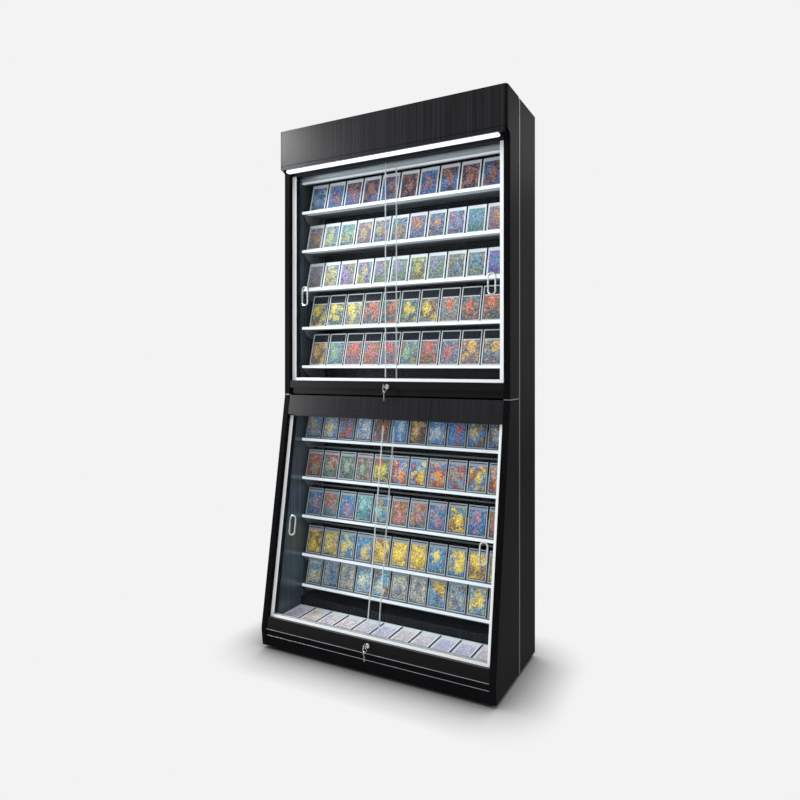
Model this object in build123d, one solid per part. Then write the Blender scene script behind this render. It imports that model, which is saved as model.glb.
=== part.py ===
from build123d import *
import math
import os

# Tall lit showcase for graded trading cards, as used on a shop floor.
# It has two glazed display sections, one above the other. The upper front is upright and the lower
# front leans out towards the floor. Each section has two sliding glass doors, five lit shelves and a
# lock with keys. A plain rear case stands behind both sections and carries the back and the wiring.
#
# Millimetres. X runs along the front, Y runs from the front to the back, Z runs up from the floor.
# While it is built, Y = 0 is the front edge of the upper side panels. At the end the whole model is
# moved so that its origin is the middle of the footprint of its box, on the floor.

# Overall sizes
width = 966.0
side_thick = 24.0
foot_height = 15.0
lower_height = 978.0
upper_height = 914.0
header_height = 157.0

# Depths
header_projection = 34.0
front_module_depth = 94.0
seam_gap = 9.0
seam_recess = 8.0
trim_width = 5.0
rear_case_depth = 191.0
rear_top_drop = 2.0
lower_projection = 147.0
toe_setback = 8.0
knee_height = 66.0

# Boards and sheets
board = 18.0
deck_board = 15.0
liner_sheet = 3.0
back_sheet = 4.0
cover_sheet = 6.0
joint_strip = 3.0
panel_inset = 2.0
corner_chamfer = 8.0
side_corner = 9.0
knee_round = 60.0
edge_round = 1.5

# Header
soffit_rise = 4.0
overhang_drop = 4.0
overhang_rise = 14.0
fascia_gap = 0.6
fascia_groove_up = 13.0
groove = 2.0
light_bar_height = 11.5
light_bar_depth = 16.0
light_bar_inset = 3.0
light_bar_side_gap = 7.0
light_housing = 3.0

# Ceiling valance with its light strip
valance_height = 24.0
valance_leg = 8.0
valance_drop = 11.0
strip_height = 6.0

# Door tracks, jambs and glass
glass = 5.0
glass_play = 1.0
track_wall = 4.0
track_rib = 3.0
upper_track_inset = 20.0
track_height = 20.0
upper_sill_height = 11.0
bottom_groove = 8.0
top_groove = 17.0
door_engage = 8.0
run_clearance = 0.4
upper_jamb_width = 20.0
lower_jamb_width = 16.0
jamb_wall = 6.0
jamb_clearance = 1.5
door_overlap = 44.0
door_stop_play = 1.5

# Finger pulls
pull_height = 80.0
pull_width = 32.0
pull_rim = 5.0
pull_flange = 1.5
pull_from_side = 52.0
upper_pull_height = 336.0
lower_pull_height = 344.0
pull_fit = 0.1

# Rails and panels between and below the doors
rail_wall = 4.0
upper_recess = 28.0
recess_setback = 10.0
upper_rail_height = 30.0
lower_fascia_height = 80.0
lower_rail_height = 46.0
lower_track_show = 11.0
rail_groove_up = 14.0

# Decks and trays
floor_tray_rise = 91.0
tray_sheet = 3.0
tray_back = 75.0
duct_height = 34.0
duct_sheet = 2.0
lower_ceiling_drop = 63.0
lower_ceiling_behind = 32.0

# Shelves
display_depth = 200.0
shelf_front = 78.0
shelf_sheet = 2.0
shelf_fold = 11.0
shelf_end_gap = 4.0
shelf_pitch = 161.5
lowest_bay = 128.5
top_bay = 153.0
bay_headroom = 4.0
first_shelf_rise = 50.0
lower_top_shelf_drop = 186.0
lowest_shelf_rise = 88.0
post_depth = 12.0
post_width = 26.0
post_slot_pitch = 50.0
post_slot_height = 24.0
post_slot_width = 6.0
bracket_sheet = 2.0
bracket_in = 6.0
bracket_drop = 48.0
tie_back = 72.0
tie_rail = 6.0
lip_light_depth = 4.0
under_light_depth = 30.0
under_gap = 10.0
under_end_gap = 14.0

# Cards in their clear holders: width, height, pitch along the shelf
small_card = (79.0, 117.0, 85.0)
narrow_card = (75.0, 110.0, 80.0)
tall_card = (80.0, 135.0, 85.0)
lower_card = (75.0, 112.0, 81.0)
floor_card = (75.0, 135.0, 81.0)
row_cards = [small_card, narrow_card, narrow_card, tall_card, tall_card]
card_thick = 7.0
card_rim = 4.0
card_recess = 1.2
card_lean = 15.0
card_setback = 10.0
card_edge_clear = 0.3
rest_height = 62.0
rest_sheet = 1.5
floor_card_front = 20.0

# Locks and keys
lock_flange = 8.5
lock_flange_thick = 2.0
lock_barrel = 6.0
lock_length = 22.0
lock_hole_fit = 0.1
plug_radius = 5.0
plug_fit = 0.05
plug_proud = 0.6
cam_width = 8.0
cam_reach = 25.0
cam_sheet = 2.0
cam_clearance = 0.4
keyway = (2.2, 7.6)
keyway_depth = 16.0
key_sheet = 2.0
key_fit = 0.1
key_neck = 11.0
bow_radius = 10.0
spare_bow_radius = 9.0
bow_hole = 3.5
ring_radius = 8.0
ring_wire = 0.7
ring_play = 0.6
spare_blade = 22.0
spare_blade_width = 7.0
upper_lock_up = 10.5
lower_lock_down = 17.5

# Levelling feet
foot_pad_radius = 25.0
foot_pad_height = 8.0
foot_neck_radius = 12.0
foot_neck_height = 4.0
foot_nut_flats = 17.0
foot_stem_radius = 5.0
foot_stem_length = 35.0
foot_stem_fit = 0.05
foot_in_x = 42.0
foot_in_front = 38.0
foot_in_rear = 32.0

# Wiring
driver_size = (180.0, 60.0, 30.0)
driver_from_side = 29.0
gland_radius = 10.0
gland_flange = 14.0
gland_flange_thick = 3.0
gland_nut_depth = 8.0
gland_bore = 4.0
gland_from_side = 103.0
gland_up = 105.0

# Places worked out from the sizes above
half = width / 2
inner = half - side_thick
base_z = foot_height
knee_z = base_z + knee_height
joint_z = base_z + lower_height
header_z = joint_z + upper_height
case_top = header_z + header_height
rear_top = case_top - rear_top_drop
trim_y = front_module_depth + seam_gap
rear_y = trim_y + trim_width
rear_face = rear_y + rear_case_depth
cover_y = rear_face - cover_sheet
soffit_z = header_z + soffit_rise
slot = glass + 2 * glass_play
track_depth = 2 * slot + track_rib + 2 * track_wall
front_glass = track_wall + glass_play
rear_glass = front_glass + slot + track_rib
upper_track_y = upper_track_inset
upper_track_back = upper_track_y + track_depth
upper_rail_z = joint_z + upper_recess
upper_track_z = upper_rail_z + upper_rail_height
upper_sill = upper_track_z + upper_sill_height
upper_top_track_z = soffit_z - track_height
lean = math.degrees(math.atan2(lower_projection, lower_height - knee_height))
slope = math.hypot(lower_projection, lower_height - knee_height)
lower_track_y = panel_inset + board
lower_track_back = lower_track_y + track_depth
lower_rail_top = -slope + lower_rail_height
lower_sill = lower_rail_top + lower_track_show
lower_top_track_z = -lower_fascia_height - 4.0
lower_ceiling_z = joint_z - lower_ceiling_drop
tray_z = base_z + floor_tray_rise
duct_z = tray_z + duct_height
post_y = display_depth - post_depth
shelf_reach = inner - liner_sheet - shelf_end_gap
driver_x = inner - driver_from_side - driver_size[0]
gland_x = gland_from_side - half
tilted = Pos(0, 0, joint_z) * Rot(-lean, 0, 0)


def bay_need(card):
    """Height that a row of leaning cards needs between two shelves."""
    angle = math.radians(card_lean)
    return card[1] * math.cos(angle) + card_thick * math.sin(angle) + shelf_fold + bay_headroom


def stack(start, bays, cards, span):
    """Heights of the shelves from the lowest up. What the bays have to spare follows the span."""
    needs = [bay_need(card) for card in cards]
    share = (span - sum(needs)) / (sum(bays) - sum(needs))
    heights = [start]
    for bay, need in zip(bays, needs):
        heights.append(heights[-1] + need + (bay - need) * share)
    return heights


first_shelf = upper_sill + first_shelf_rise
upper_bays = [shelf_pitch] * 4 + [top_bay]
upper_shelves = stack(first_shelf, upper_bays, row_cards[::-1], soffit_z - first_shelf)[4::-1]
lowest_shelf = tray_z + lowest_shelf_rise
lower_bays = [lowest_bay] + [shelf_pitch] * 3
lower_span = joint_z - lower_top_shelf_drop - lowest_shelf
lower_shelves = stack(lowest_shelf, lower_bays, [lower_card] * 4, lower_span)[::-1]


def tilt_point(y, z):
    """World Y and Z of a point of the leaning front: y behind its face, z along it, downwards negative."""
    angle = math.radians(lean)
    return (y * math.cos(angle) + z * math.sin(angle), joint_z - y * math.sin(angle) + z * math.cos(angle))


def block(x0, x1, y0, y1, z0, z1):
    return Pos((x0 + x1) / 2, (y0 + y1) / 2, (z0 + z1) / 2) * Box(x1 - x0, y1 - y0, z1 - z0)


def profile_along_x(points, x0, x1):
    """A closed outline of (Y, Z) points, pushed along X."""
    face = make_face(Polyline(*points, close=True))
    return extrude(Plane.YZ.offset(x0) * face, amount=x1 - x0)


def rod_y(radius, y0, y1, x=0.0, z=0.0):
    return Pos(x, (y0 + y1) / 2, z) * Rot(90, 0, 0) * Cylinder(radius, y1 - y0)


def both_sides(piece):
    return [piece, mirror(piece, about=Plane.YZ)]


def group(pieces):
    return Compound(children=list(pieces))


def upper_side_panel():
    """Right-hand side of the upper section, with the projecting end of the header."""
    points = [
        (0, joint_z + joint_strip / 2),
        (0, header_z - overhang_drop),
        (-header_projection, header_z - overhang_drop + overhang_rise),
        (-header_projection, case_top),
        (front_module_depth, case_top),
        (front_module_depth, joint_z + joint_strip / 2),
    ]
    face = make_face(Polyline(*points, close=True))
    corners = face.vertices().filter_by(lambda v: header_z - 20 < v.Y < header_z + 20)
    face = fillet(corners, side_corner)
    panel = extrude(Plane.YZ.offset(inner) * face, amount=side_thick)
    tip_y = -header_projection
    corner = Polyline((half + 1, tip_y - 1), (half - corner_chamfer - 1, tip_y - 1),
                      (half + 1, tip_y + corner_chamfer + 1), close=True)
    panel -= extrude(Plane.XY.offset(header_z - overhang_drop - 1) * make_face(corner), amount=header_height + 10)
    rebate = block(inner - 1, half - corner_chamfer - 1 + fascia_gap, -header_projection - 1,
                   board - header_projection, header_z - fascia_gap, case_top + 1)
    return panel - rebate


def lower_side_panel():
    """Right-hand side of the lower section, leaning out to the knee and back in to the toe."""
    points = [
        (0, joint_z - joint_strip / 2),
        (-lower_projection, knee_z),
        (toe_setback - lower_projection, base_z),
        (front_module_depth, base_z),
        (front_module_depth, joint_z - joint_strip / 2),
    ]
    face = make_face(Polyline(*points, close=True))
    knee = face.vertices().sort_by(Axis.X)[0]
    face = fillet(knee, knee_round)
    panel = extrude(Plane.YZ.offset(inner) * face, amount=side_thick)
    outer_edges = [e for e in panel.faces().sort_by(Axis.X)[-1].edges() if e.center().Y < -2]
    return fillet(outer_edges, edge_round)


def header_fascia():
    """Front board of the header, let into both side panels, with a shadow groove near its foot."""
    reach = half - corner_chamfer - 1
    board_solid = block(-reach, reach, -header_projection, board - header_projection, header_z, case_top)
    cut = block(-half, half, -header_projection - 1, groove - header_projection,
                header_z + fascia_groove_up, header_z + fascia_groove_up + groove)
    return board_solid - cut


def header_light():
    """Light bar under the header: a flat housing and a diffuser with round ends."""
    reach = inner - light_bar_side_gap
    y0 = light_bar_inset - header_projection
    y1 = y0 + light_bar_depth
    housing = block(-reach, reach, y0, y1, header_z - light_housing, header_z)
    low = header_z - light_housing - light_bar_height
    outline = Plane.XZ.offset(-y1) * Pos(0, low + light_bar_height / 2) * SlotOverall(2 * reach, light_bar_height)
    diffuser = extrude(outline, amount=light_bar_depth)
    front = diffuser.faces().sort_by(Axis.Y)[0].edges()
    return housing, fillet(front, 3.0)


def ceiling_valance():
    """Round-nosed bar under the ceiling, with a leg that carries the light strip."""
    reach = inner - liner_sheet
    y0 = shelf_front - 2
    r = valance_height / 2
    nose = Pos(y0 + r, soffit_z - r) * Circle(r)
    body = Pos(y0 + r + r / 2, soffit_z - r) * Rectangle(r, valance_height)
    leg_z = soffit_z - valance_height - valance_drop
    leg = Pos(y0 + 2 * r - valance_leg / 2, (leg_z + soffit_z - r) / 2) * Rectangle(valance_leg, soffit_z - r - leg_z)
    bar = extrude(Plane.YZ.offset(-reach) * (nose + body + leg), amount=2 * reach)
    strip_y1 = y0 + 2 * r - valance_leg
    strip = block(-reach, reach, strip_y1 - 8, strip_y1, leg_z + 1, leg_z + 1 + strip_height)
    return bar, strip


def track(height, depth_of_groove, opens_up):
    """Twin-groove door track, with its front face at Y = 0 and its foot at Z = 0."""
    body = block(-inner, inner, 0, track_depth, 0, height)
    for y in (front_glass, rear_glass):
        low = height - depth_of_groove if opens_up else -1
        high = height + 1 if opens_up else depth_of_groove
        body -= block(-inner - 1, inner + 1, y - glass_play, y + glass + glass_play, low, high)
    return body


def jamb(wide, low, high):
    """Right-hand jamb, with a groove for the edge of each glass door."""
    body = block(inner - wide, inner, 0, track_depth, low, high)
    for y in (front_glass, rear_glass):
        body -= block(inner - wide - 1, inner - jamb_wall, y - glass_play,
                      y + glass + glass_play, low - 1, high + 1)
    return body


def door(x0, x1, y, z0, z1, pull_x, pull_z):
    """A glass leaf with an oval finger hole, and the two-flanged rim that lines the hole."""
    hole = SlotOverall(pull_height - 2 * pull_rim + 3, pull_width - 2 * pull_rim + 3, rotation=90)
    opening = Plane.XZ.offset(-y - glass - 5) * Pos(pull_x, pull_z) * hole
    leaf = block(x0, x1, y, y + glass, z0, z1) - extrude(opening, amount=glass + 10)
    edge = SlotOverall(pull_height, pull_width, rotation=90)
    neck = SlotOverall(pull_height - 2 * pull_rim + 3 - 2 * pull_fit,
                       pull_width - 2 * pull_rim + 3 - 2 * pull_fit, rotation=90)
    eye = SlotOverall(pull_height - 2 * pull_rim, pull_width - 2 * pull_rim, rotation=90)
    back = Plane.XZ.offset(-y - glass - pull_flange) * Pos(pull_x, pull_z)
    front = Plane.XZ.offset(-y) * Pos(pull_x, pull_z)
    rim = extrude(back * edge, amount=pull_flange) + extrude(front * edge, amount=pull_flange)
    rim += extrude(back * neck, amount=glass + 2 * pull_flange)
    rim -= extrude(back * eye, amount=glass + 2 * pull_flange)
    return leaf, rim


def door_pair(z0, z1, pull_z):
    """Left leaf in the rear grooves and right leaf in the front grooves, closed."""
    edge = inner - jamb_wall - jamb_clearance
    left_pull = pull_from_side - inner
    left = door(-edge, door_overlap / 2, rear_glass, z0, z1, left_pull, pull_z)
    right = door(-door_overlap / 2, edge, front_glass, z0, z1, -left_pull, pull_z)
    return left, right


def upper_lock_rail():
    """Folded rail under the upper doors: the lock face above and a set-back recess below."""
    face_y = panel_inset
    back_y = face_y + recess_setback
    top = upper_track_z
    points = [
        (face_y, top),
        (upper_track_back, top),
        (upper_track_back, top - rail_wall),
        (face_y + rail_wall, top - rail_wall),
        (face_y + rail_wall, upper_rail_z + rail_wall),
        (back_y + rail_wall, upper_rail_z + rail_wall),
        (back_y + rail_wall, joint_z + 4),
        (back_y, joint_z + 4),
        (back_y, upper_rail_z),
        (face_y, upper_rail_z),
    ]
    rail = profile_along_x(points, -inner, inner)
    return rail - rod_y(lock_barrel + lock_hole_fit, face_y - 1, face_y + rail_wall + 1, z=upper_rail_z + upper_lock_up)


def lower_lock_rail():
    """Folded rail under the lower doors, in the leaning frame, with one groove across its face."""
    face_y = panel_inset
    low = -slope
    points = [
        (face_y, lower_rail_top),
        (lower_track_y, lower_rail_top),
        (lower_track_y, lower_rail_top - rail_wall),
        (face_y + rail_wall, lower_rail_top - rail_wall),
        (face_y + rail_wall, low + rail_wall),
        (lower_track_y, low + rail_wall),
        (lower_track_y, low),
        (face_y, low),
        (face_y, low + rail_groove_up),
        (face_y + groove, low + rail_groove_up),
        (face_y + groove, low + rail_groove_up + groove),
        (face_y, low + rail_groove_up + groove),
    ]
    rail = profile_along_x(points, -inner, inner)
    hole = rod_y(lock_barrel + lock_hole_fit, face_y - 1, face_y + rail_wall + 1, z=lower_rail_top - lower_lock_down)
    return tilted * (rail - hole)


def plinth_panel():
    """Board from the knee to the toe, below the lower lock rail."""
    knee_y, knee_low = tilt_point(panel_inset, -slope - 0.5)
    toe_y = toe_setback - lower_projection + panel_inset
    points = [
        (knee_y, knee_low),
        (toe_y, base_z),
        (toe_y + board, base_z),
        (knee_y + board, knee_low - 3.2),
    ]
    return profile_along_x(points, -inner, inner)


def card_count(card):
    """How many cards fill the width of a shelf."""
    return int(2 * shelf_reach / card[2])


def post(x, z0, z1):
    """Slotted upright on the display back, which the shelf brackets hook into."""
    body = block(x - post_width / 2, x + post_width / 2, post_y, display_depth, z0, z1)
    count = int((z1 - z0 - post_slot_height) / post_slot_pitch)
    for k in range(count):
        z = z0 + post_slot_pitch * (k + 0.7)
        body -= block(x - post_slot_width / 2, x + post_slot_width / 2, post_y - 1,
                      post_y + 8, z, z + post_slot_height)
    return body


def shelf(z, card, tied):
    """Folded shelf with the channel under its rear half, its card rest and its end brackets."""
    reach = shelf_reach
    plate = profile_along_x([
        (shelf_front, z),
        (post_y, z),
        (post_y, z - shelf_sheet),
        (shelf_front + shelf_sheet, z - shelf_sheet),
        (shelf_front + shelf_sheet, z - shelf_fold),
        (shelf_front, z - shelf_fold),
    ], -reach, reach)
    under_reach = reach - under_end_gap
    channel_y = shelf_front + shelf_sheet + under_light_depth + under_gap
    channel = block(-under_reach, under_reach, channel_y, post_y, z - shelf_fold, z - shelf_sheet)
    angle = math.radians(card_lean)
    foot_y = shelf_front + card_setback + card_thick / math.cos(angle)
    top_y = foot_y + rest_height * math.tan(angle)
    rest_wide = rest_sheet / math.cos(angle)
    rest = profile_along_x([
        (foot_y, z),
        (top_y, z + rest_height),
        (top_y + rest_wide, z + rest_height),
        (foot_y + rest_wide, z),
    ], -card[2] * card_count(card) / 2, card[2] * card_count(card) / 2)
    front = (shelf_front + shelf_sheet, z - shelf_fold)
    tie = (shelf_front + tie_back, z - bracket_drop)
    middle = (front[0] + 0.38 * (tie[0] - front[0]), front[1] + 0.72 * (tie[1] - front[1]))
    sweep_line = ThreePointArc(front, middle, tie)
    outline = sweep_line + Polyline(tie, (post_y, z - bracket_drop), (post_y, z - shelf_sheet),
                                    (front[0], z - shelf_sheet), front)
    blank = extrude(Plane.YZ.offset(reach - bracket_sheet - bracket_in) * make_face(outline), amount=bracket_sheet)
    pieces = [plate, channel, rest] + both_sides(blank)
    if tied:
        tie_reach = reach - bracket_sheet - bracket_in
        pieces.append(block(-tie_reach, tie_reach, tie[0] - tie_rail / 2, tie[0] + tie_rail / 2,
                            z - bracket_drop + 2, z - bracket_drop + 2 + tie_rail))
    return group(pieces)


def shelf_lights(z):
    """Light strip on the front fold of a shelf, and the wider one under its plate."""
    reach = shelf_reach - 2
    front = block(-reach, reach, shelf_front - lip_light_depth, shelf_front, z - shelf_fold, z)
    nose = front.faces().sort_by(Axis.Y)[0].edges().filter_by(Axis.X)
    front = fillet(nose, 1.2)
    under_reach = shelf_reach - under_end_gap
    y0 = shelf_front + shelf_sheet
    under = block(-under_reach, under_reach, y0, y0 + under_light_depth, z - shelf_fold, z - shelf_sheet)
    return [front, under]


def card_solid(card):
    """One card in its clear holder, upright, with its front at Y = 0 and its foot at Z = 0."""
    wide, high = card[0], card[1]
    body = block(-wide / 2, wide / 2, 0, card_thick, 0, high)
    window = block(card_rim - wide / 2, wide / 2 - card_rim, -1, card_recess, card_rim, high - card_rim)
    return body - window


def card_places(card):
    """X of each card of a row, in the middle of the case."""
    pitch, count = card[2], card_count(card)
    return [(k - (count - 1) / 2) * pitch for k in range(count)]


def card_row(z, card):
    """A row of cards that lean on the rest of the shelf whose plate is at height z."""
    angle = math.radians(card_lean)
    one = card_solid(card)
    y = shelf_front + card_setback
    lift = card_thick * math.sin(angle)
    spare = card_edge_clear
    return [Pos(x, y - spare, z + lift) * Rot(-card_lean, 0, 0) * one for x in card_places(card)]


def floor_card_row(card, front_y):
    one = Pos(0, 0, card_thick) * Rot(-90, 0, 0) * card_solid(card)
    return [Pos(x, front_y, tray_z) * one for x in card_places(card)]


def lock_body():
    """Barrel and flange of a lock whose axis is Y, with the rail's face at Y = 0."""
    body = rod_y(lock_flange, -lock_flange_thick, 0) + rod_y(lock_barrel, 0, lock_length)
    return body - rod_y(plug_radius + plug_fit, -lock_flange_thick - 1, lock_length + 1)


def lock_plug():
    """Turning plug with its keyway and cam."""
    back = lock_length + cam_clearance
    plug = rod_y(plug_radius, -lock_flange_thick - plug_proud, back)
    slot_cut = block(-keyway[0] / 2, keyway[0] / 2, -lock_flange_thick - plug_proud - 1, keyway_depth,
                     -keyway[1] / 2, keyway[1] / 2)
    cam = SlotOverall(cam_reach + cam_width, cam_width, rotation=90)
    cam_at = Plane.XZ.offset(-back - cam_sheet) * Pos(0, -cam_reach / 2 + 1) * cam
    return plug - slot_cut + extrude(cam_at, amount=cam_sheet)


def bow_centre():
    return -lock_flange_thick - plug_proud - key_neck - bow_radius + 2


def key_blank(bow, blade_from, blade_to, blade_width):
    """A flat key in the YZ plane: its bow at the origin and its blade along +Y."""
    flat = Circle(bow) + Pos((blade_from + blade_to) / 2, 0) * Rectangle(blade_to - blade_from, blade_width)
    flat -= Circle(bow_hole)
    return extrude(Plane.YZ.offset(-key_sheet / 2) * flat, amount=key_sheet)


def lock_key():
    """The key that stands in the plug."""
    centre = bow_centre()
    tip = keyway_depth - 1
    blade = keyway[1] - 2 * key_fit
    return Pos(0, centre, 0) * key_blank(bow_radius, bow_hole + 2, tip - centre, blade)


def key_ring():
    """Wire ring through the bow, with the spare key hanging from it. Origin at the hole of the bow."""
    grip = bow_hole - ring_wire - ring_play
    ring = Pos(0, 0, -grip - ring_radius) * Rot(90, 0, 0) * Torus(ring_radius, ring_wire)
    drop = -2 * grip - 2 * ring_radius
    blade_end = spare_bow_radius + spare_blade
    spare = Rot(-90, 0, 0) * key_blank(spare_bow_radius, bow_hole + 2, blade_end, spare_blade_width)
    return group([ring, Pos(0, 0, drop) * spare])


def foot():
    """Levelling foot: pad, neck, nut and stem, standing on Z = 0."""
    pad = Cylinder(foot_pad_radius, foot_pad_height, align=(Align.CENTER, Align.CENTER, Align.MIN))
    pad = fillet(pad.edges().sort_by(Axis.Z)[-1], 2.5)
    neck = Pos(0, 0, foot_pad_height) * Cone(foot_neck_radius, foot_neck_radius - 3, foot_neck_height,
                                             align=(Align.CENTER, Align.CENTER, Align.MIN))
    nut_z = foot_pad_height + foot_neck_height
    nut = Pos(0, 0, nut_z) * extrude(RegularPolygon(foot_nut_flats / 2, 6, major_radius=False),
                                     amount=foot_height - nut_z)
    stem = Pos(0, 0, foot_height) * Cylinder(foot_stem_radius, foot_stem_length,
                                             align=(Align.CENTER, Align.CENTER, Align.MIN))
    return pad + neck + nut + stem


def foot_places():
    front = toe_setback - lower_projection + foot_in_front
    rear = rear_face - foot_in_rear
    return {
        "foot_front_left": (-half + foot_in_x, front),
        "foot_front_right": (half - foot_in_x, front),
        "foot_rear_left": (-half + foot_in_x, rear),
        "foot_rear_right": (half - foot_in_x, rear),
    }


def base_panel():
    front = toe_setback - lower_projection + panel_inset + board
    body = block(-inner, inner, front, cover_y, base_z, base_z + board)
    for x, y in foot_places().values():
        if abs(x) < inner:
            body -= Pos(x, y, base_z) * Cylinder(foot_stem_radius + foot_stem_fit, 4 * board)
    return body


def rear_cover():
    body = block(-inner, inner, cover_y, rear_face, base_z, rear_top - board)
    return body - rod_y(gland_radius, cover_y - 1, rear_face + 1, x=gland_x, z=base_z + gland_up)


def cable_gland():
    """Inlet for the supply lead in the rear cover."""
    z = base_z + gland_up
    body = rod_y(gland_flange, rear_face, rear_face + gland_flange_thick, x=gland_x, z=z)
    body += rod_y(gland_radius, cover_y - gland_nut_depth, rear_face, x=gland_x, z=z)
    body += rod_y(gland_flange, cover_y - gland_nut_depth, cover_y, x=gland_x, z=z)
    return body - rod_y(gland_bore, cover_y - 20, rear_face + 20, x=gland_x, z=z)


def lower_liner():
    """Right-hand inner lining of the lower section, behind the leaning jamb."""
    low_y, low_z = tilt_point(lower_track_back, lower_sill)
    lean_tan = math.tan(math.radians(lean))
    points = [
        (low_y + (tray_z - low_z) * lean_tan, tray_z),
        (low_y + (lower_ceiling_z - low_z) * lean_tan, lower_ceiling_z),
        (display_depth, lower_ceiling_z),
        (display_depth, tray_z),
    ]
    return profile_along_x(points, inner - liner_sheet, inner)


parts = {}

right = upper_side_panel()
parts["upper_side_panel_right"] = right
parts["upper_side_panel_left"] = mirror(right, about=Plane.YZ)
right = lower_side_panel()
parts["lower_side_panel_right"] = right
parts["lower_side_panel_left"] = mirror(right, about=Plane.YZ)
right = block(inner, half, rear_y, rear_face, base_z, rear_top)
right += block(inner, half - seam_recess, front_module_depth, rear_y, base_z, rear_top)
parts["rear_side_panels"] = group(both_sides(right))
upright_trim = block(half - seam_recess, half, trim_y, rear_y, base_z, rear_top)
level_trim = block(inner, half, 0, front_module_depth, joint_z - joint_strip / 2, joint_z + joint_strip / 2)
parts["seam_trims"] = group(both_sides(upright_trim) + both_sides(level_trim))

parts["header_fascia"] = header_fascia()
front_top = block(-inner, inner, board - header_projection, trim_y, case_top - board, case_top)
back_top = block(-inner, inner, rear_y, rear_face, rear_top - board, rear_top)
parts["top_panels"] = group([front_top, back_top])
parts["ceiling_panel"] = block(-inner, inner, board - header_projection, display_depth, soffit_z, soffit_z + deck_board)
housing, bar = header_light()
valance, strip = ceiling_valance()
parts["header_light_housing"] = housing
parts["ceiling_valance"] = valance
parts["header_light_diffusers"] = group([bar, strip])

upper_liner = block(inner - liner_sheet, inner, upper_track_back, display_depth, upper_sill, soffit_z)
parts["side_liners"] = group(both_sides(upper_liner) + both_sides(lower_liner()))
upper_back = block(-inner, inner, display_depth, display_depth + back_sheet, upper_sill - deck_board, soffit_z + deck_board)
lower_back = block(-inner, inner, display_depth, display_depth + back_sheet, base_z + board, lower_ceiling_z + deck_board)
duct = profile_along_x([
    (tray_back, tray_z),
    (tray_back, duct_z),
    (display_depth, duct_z),
    (display_depth, duct_z - duct_sheet),
    (tray_back + duct_sheet, duct_z - duct_sheet),
    (tray_back + duct_sheet, tray_z),
], liner_sheet - inner, inner - liner_sheet)
parts["display_back_panels"] = group([upper_back, lower_back, duct])
parts["rear_cover_panel"] = rear_cover()
parts["base_panel"] = base_panel()
parts["middle_deck"] = group([
    block(-inner, inner, upper_track_back, display_depth, upper_sill - deck_board, upper_sill),
    block(-inner, inner, tilt_point(panel_inset + board, -lower_fascia_height)[0] + lower_ceiling_behind, display_depth,
          lower_ceiling_z, lower_ceiling_z + deck_board),
])

post_x = shelf_reach - 16
posts = [post(x, upper_sill, soffit_z) for x in (-post_x, post_x)]
posts += [post(x, duct_z, lower_ceiling_z) for x in (-post_x, post_x)]
parts["shelf_posts"] = group(posts)

upper_tracks = [
    Pos(0, upper_track_y, upper_track_z) * track(upper_sill_height, bottom_groove, True),
    Pos(0, upper_track_y, upper_top_track_z) * track(track_height, top_groove, False),
]
lower_tracks = [
    tilted * Pos(0, lower_track_y, lower_sill - track_height) * track(track_height, bottom_groove, True),
    tilted * Pos(0, lower_track_y, lower_top_track_z) * track(track_height, top_groove, False),
]
parts["upper_door_tracks"] = group(upper_tracks)
parts["lower_door_tracks"] = group(lower_tracks)
upper_jamb = Pos(0, upper_track_y, 0) * jamb(upper_jamb_width, upper_sill, upper_top_track_z)
lower_jamb = tilted * Pos(0, lower_track_y, 0) * jamb(lower_jamb_width, lower_sill, lower_top_track_z)
parts["door_jambs"] = group(both_sides(upper_jamb) + both_sides(lower_jamb))

parts["upper_lock_rail"] = upper_lock_rail()
parts["lower_lock_rail"] = lower_lock_rail()
parts["lower_fascia"] = tilted * block(-inner, inner, panel_inset, panel_inset + board, -lower_fascia_height, -joint_strip / 2)
parts["plinth_panel"] = plinth_panel()
tray_front = tilt_point(lower_track_back, lower_sill - track_height)
parts["lower_floor_tray"] = profile_along_x([
    (tray_front[0] - 8, tray_z - tray_sheet),
    (tray_front[0] - 8, tray_front[1] - 0.3),
    (tray_front[0] - 8 + tray_sheet, tray_front[1] - 0.3),
    (tray_front[0] - 8 + tray_sheet, tray_z),
    (tray_back + duct_sheet, tray_z),
    (tray_back + duct_sheet, tray_z - tray_sheet),
], -inner, inner)

lights = []
upper_cards = []
lower_cards = []
for number, (z, card) in enumerate(zip(upper_shelves, row_cards), 1):
    parts[f"upper_shelf_{number}"] = shelf(z, card, False)
    lights += shelf_lights(z)
    upper_cards += card_row(z, card)
for number, z in enumerate(lower_shelves, 1):
    parts[f"lower_shelf_{number}"] = shelf(z, lower_card, True)
    lights += shelf_lights(z)
    lower_cards += card_row(z, lower_card)
parts["shelf_light_strips"] = group(lights)
lower_cards += floor_card_row(floor_card, tray_front[0] + floor_card_front)
parts["upper_cards"] = group(upper_cards)
parts["lower_cards"] = group(lower_cards)

upper_pair = door_pair(upper_sill - bottom_groove + run_clearance, upper_top_track_z + door_engage,
                       upper_sill + upper_pull_height)
lower_pair = door_pair(lower_sill - bottom_groove + run_clearance, lower_top_track_z + door_engage,
                       lower_sill + lower_pull_height)
upper_at = Pos(0, upper_track_y, 0)
lower_at = tilted * Pos(0, lower_track_y, 0)
for level, at, pair in (("upper", upper_at, upper_pair), ("lower", lower_at, lower_pair)):
    for side, (leaf, rim) in zip(("left", "right"), pair):
        parts[f"{level}_{side}_door_glass"] = at * leaf
        parts[f"{level}_{side}_door_pull"] = at * rim

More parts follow.
